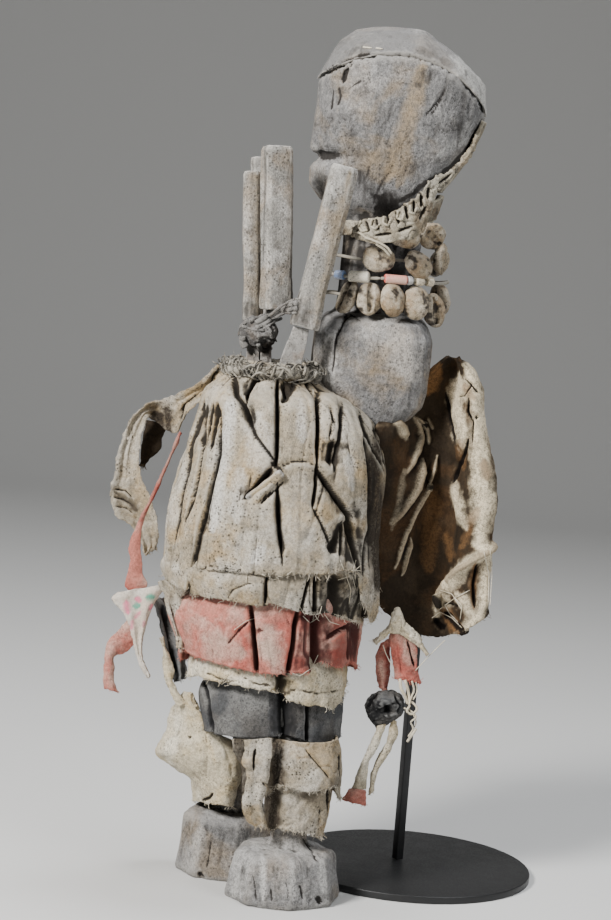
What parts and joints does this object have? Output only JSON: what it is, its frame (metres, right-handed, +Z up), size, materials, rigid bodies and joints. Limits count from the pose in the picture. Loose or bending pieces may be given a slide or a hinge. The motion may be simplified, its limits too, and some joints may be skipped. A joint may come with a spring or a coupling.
{
  "type": "vodou fetish figure",
  "caption": "Carved wooden power figure in a gathered cloth gown, rags, cowries and beads, with knives in its bundle, held by a rod on a round foot.",
  "frame": {"origin": "bottom centre of the whole piece's box, on the surface it stands on", "axes": "+Z up; the feet point along -Y; the figure's left is +X; the rod stands behind it at +Y"},
  "size_m": [0.181, 0.308, 0.5761],
  "materials": {
    "wood": "bare carved wood, grey with dust, with ochre streaks and dark pitting",
    "handle_wood": "whittled wood under chalky grey dust",
    "canvas": "stiff old plain weave, beige-grey, stained and dusty",
    "brown_cloth": "brown cloth, cream where it is worn at the roll",
    "red_cloth": "faded red plain weave with frayed edges",
    "dark_cloth": "blue-black twill under pale dust",
    "pale_cloth": "pale frayed plain weave",
    "print_cloth": null,
    "hide": "raw hide, dried and dusty, with pale stitches",
    "leather": "dry cream leather with laced edge",
    "resin": "dark resin and plant fibre, crumbly",
    "cowrie": "cowrie shell, dull and dirty",
    "string": "twisted fibre string, dirty",
    "beads": "opaque glass beads in white, coral, blue and pale on a string",
    "iron": "forged iron, dull with brown rust",
    "steel": "black satin steel, dusty"
  },
  "bodies": {
    "root": {"carved_figure": "wood", "knife_handle_1": "handle_wood", "knife_handle_2": "handle_wood", "knife_handle_3": "handle_wood", "knife_handle_4": "handle_wood", "seam_peg": "handle_wood", "gathered_gown": "canvas", "under_gown_hem": "canvas", "left_leg_wrap": "canvas", "right_arm_wrap": "canvas", "beige_tail": "canvas", "hanging_strip_long": "canvas", "hanging_strip_short": "canvas", "left_sleeve": "brown_cloth", "right_arm_tail": "brown_cloth", "red_band": "red_cloth", "red_ribbon": "red_cloth", "red_tail": "red_cloth", "tassel_red_cloth": "red_cloth", "tassel_side_red": "red_cloth", "tassel_red_end": "red_cloth", "dark_band": "dark_cloth", "grey_tail": "dark_cloth", "tassel_knot": "dark_cloth", "frayed_under_band": "pale_cloth", "pale_leg_band": "pale_cloth", "right_leg_pouch": "pale_cloth", "pale_side_strip": "pale_cloth", "tassel_cap": "pale_cloth", "tassel_strip_near": "pale_cloth", "tassel_strip_far": "pale_cloth", "print_scrap": "print_cloth", "hide_cap": "hide", "laced_collar": "leather", "nape_strap": "leather", "resin_binding": "resin", "upper_cowrie_1": "cowrie", "upper_cowrie_2": "cowrie", "upper_cowrie_3": "cowrie", "upper_cowrie_4": "cowrie", "upper_cowrie_5": "cowrie", "upper_cowrie_6": "cowrie", "upper_cowrie_7": "cowrie", "lower_cowrie_1": "cowrie", "lower_cowrie_2": "cowrie", "lower_cowrie_3": "cowrie", "lower_cowrie_4": "cowrie", "lower_cowrie_5": "cowrie", "lower_cowrie_6": "cowrie", "lower_cowrie_7": "cowrie", "upper_shell_string": "string", "lower_shell_string": "string", "tie_cord": "string", "bead_string": "beads", "knife_tang_1": "iron", "knife_tang_2": "iron", "knife_tang_3": "iron", "knife_tang_4": "iron", "stand_disc": "steel", "stand_rod": "steel"}
  },
  "joints": []
}
